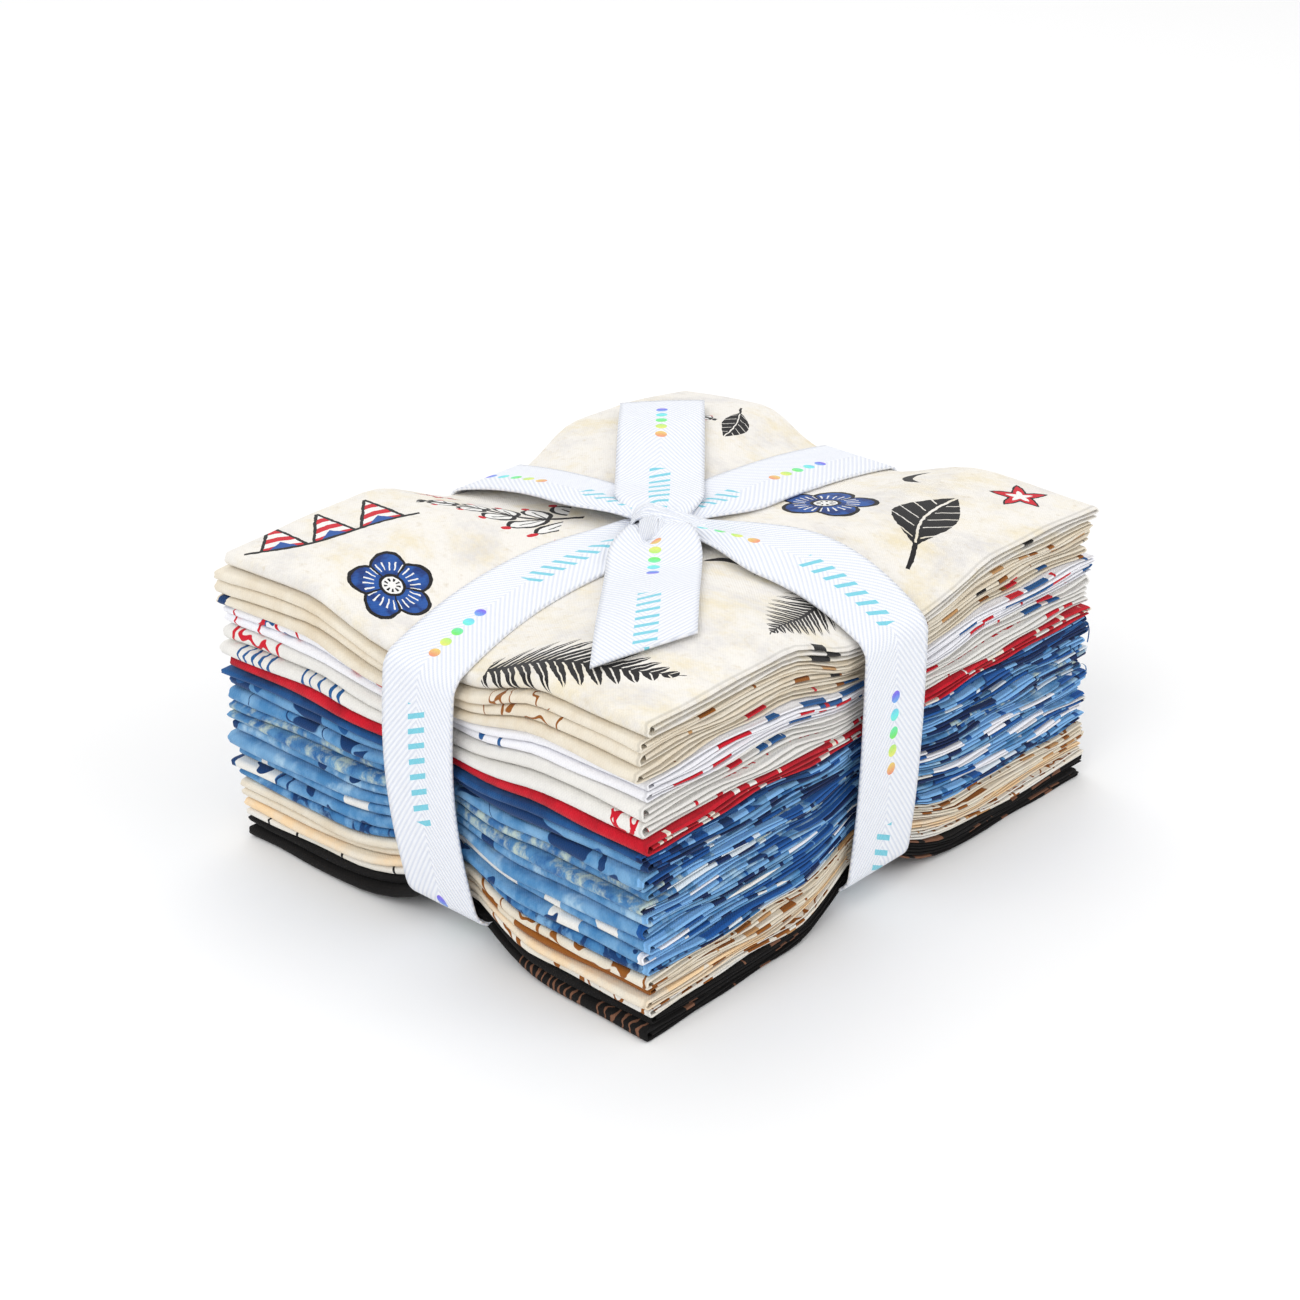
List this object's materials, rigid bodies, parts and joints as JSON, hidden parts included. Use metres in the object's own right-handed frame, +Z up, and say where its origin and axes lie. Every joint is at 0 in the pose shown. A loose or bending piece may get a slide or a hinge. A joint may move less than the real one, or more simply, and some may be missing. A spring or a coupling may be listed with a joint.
{
  "type": "fat quarter bundle",
  "caption": "Stack of folded printed cotton fabrics tied both ways with a white twill ribbon, knotted on top.",
  "frame": {"origin": "under the middle of the stack, on the surface that it rests on", "axes": "+X along the longer side, from the big rounded folds to the loose edges; +Y along the shorter side; +Z up"},
  "size_m": [0.1907, 0.1572, 0.0904],
  "materials": {
    "cotton_cream_sprig": "matt plain-weave cotton, marbled cream ground with black sprigs and red, white and blue motifs",
    "cotton_cream_a": "matt plain-weave cotton, cream with brown motifs",
    "cotton_cream_b": "matt plain-weave cotton, cream with brown motifs",
    "cotton_cream_c": "matt plain-weave cotton, cream with small blue and red motifs",
    "cotton_white_a": "matt plain-weave cotton, white with red and blue motifs",
    "cotton_white_b": "matt plain-weave cotton, white with blue outlines",
    "cotton_ivory_a": "matt plain-weave cotton, off-white with red and blue outlines",
    "cotton_ivory_b": "matt plain-weave cotton, off-white with blue stripes",
    "cotton_red": "matt plain-weave cotton, mottled red with small white marks",
    "cotton_navy_a": "matt plain-weave cotton, mottled dark blue",
    "cotton_navy_b": "matt plain-weave cotton, dark and light blue shapes",
    "cotton_sky_a": "matt plain-weave cotton, light blue with thin lines",
    "cotton_teal_a": "matt plain-weave cotton, speckled blue-green",
    "cotton_teal_b": "matt plain-weave cotton, speckled blue-green",
    "cotton_blue_a": "matt plain-weave cotton, mottled blue with pale patches",
    "cotton_sky_b": "matt plain-weave cotton, mottled light blue",
    "cotton_blue_b": "matt plain-weave cotton, blue with white patches",
    "cotton_blue_c": "matt plain-weave cotton, blue with darker motifs",
    "cotton_blue_d": "matt plain-weave cotton, blue with darker motifs",
    "cotton_cream_d": "matt plain-weave cotton, cream with brown lines",
    "cotton_cream_e": "matt plain-weave cotton, cream with large brown shapes",
    "cotton_apricot": "matt plain-weave cotton, cream with an orange tint",
    "cotton_white_c": "matt plain-weave cotton, white with brown motifs",
    "cotton_black_a": "matt plain-weave cotton, black",
    "cotton_black_b": "matt plain-weave cotton, black with thin brown lines",
    "twill_ribbon": "white herringbone twill tape, slight sheen"
  },
  "bodies": {
    "root": {"fabric_01": "cotton_cream_sprig", "fabric_02": "cotton_cream_a", "fabric_03": "cotton_cream_b", "fabric_04": "cotton_cream_c", "fabric_05": "cotton_white_a", "fabric_06": "cotton_white_b", "fabric_07": "cotton_ivory_a", "fabric_08": "cotton_ivory_b", "fabric_09": "cotton_red", "fabric_10": "cotton_navy_a", "fabric_11": "cotton_navy_b", "fabric_12": "cotton_sky_a", "fabric_13": "cotton_teal_a", "fabric_14": "cotton_teal_b", "fabric_15": "cotton_blue_a", "fabric_16": "cotton_sky_b", "fabric_17": "cotton_blue_b", "fabric_18": "cotton_blue_c", "fabric_19": "cotton_blue_d", "fabric_20": "cotton_cream_d", "fabric_21": "cotton_cream_e", "fabric_22": "cotton_apricot", "fabric_23": "cotton_white_c", "fabric_24": "cotton_black_a", "fabric_25": "cotton_black_b", "ribbon": "twill_ribbon"}
  },
  "joints": []
}
